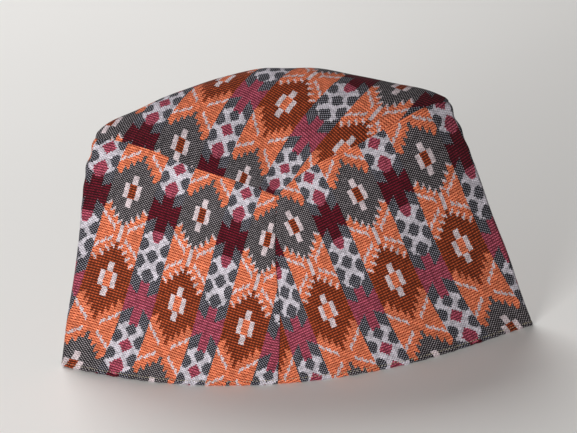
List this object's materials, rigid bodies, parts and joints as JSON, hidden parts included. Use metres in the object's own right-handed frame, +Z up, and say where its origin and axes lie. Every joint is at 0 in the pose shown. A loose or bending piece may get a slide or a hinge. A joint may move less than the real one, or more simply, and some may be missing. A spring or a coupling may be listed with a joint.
{
  "type": "dhaka topi",
  "caption": "Brimless cloth cap of patterned brocade: two stiff band panels seamed front and back, side creases, and a leaf-shaped crown standing in a ridge; hollow and open below.",
  "frame": {"origin": "on the surface that the cap rests on, in the middle of its open rim", "axes": "+Z up; -Y towards the front seam; +X towards the side crease that is on the right when the front is seen"},
  "size_m": [0.257, 0.1036, 0.1573],
  "materials": {
    "band_cloth_left": "handloom cotton brocade in orange, rust, maroon, charcoal and off-white, matte",
    "band_cloth_right": "the same brocade cut the other way round, matte",
    "crown_cloth": "the same brocade, matte"
  },
  "bodies": {
    "root": {"band_left": "band_cloth_left", "band_right": "band_cloth_right", "crown": "crown_cloth"}
  },
  "joints": []
}
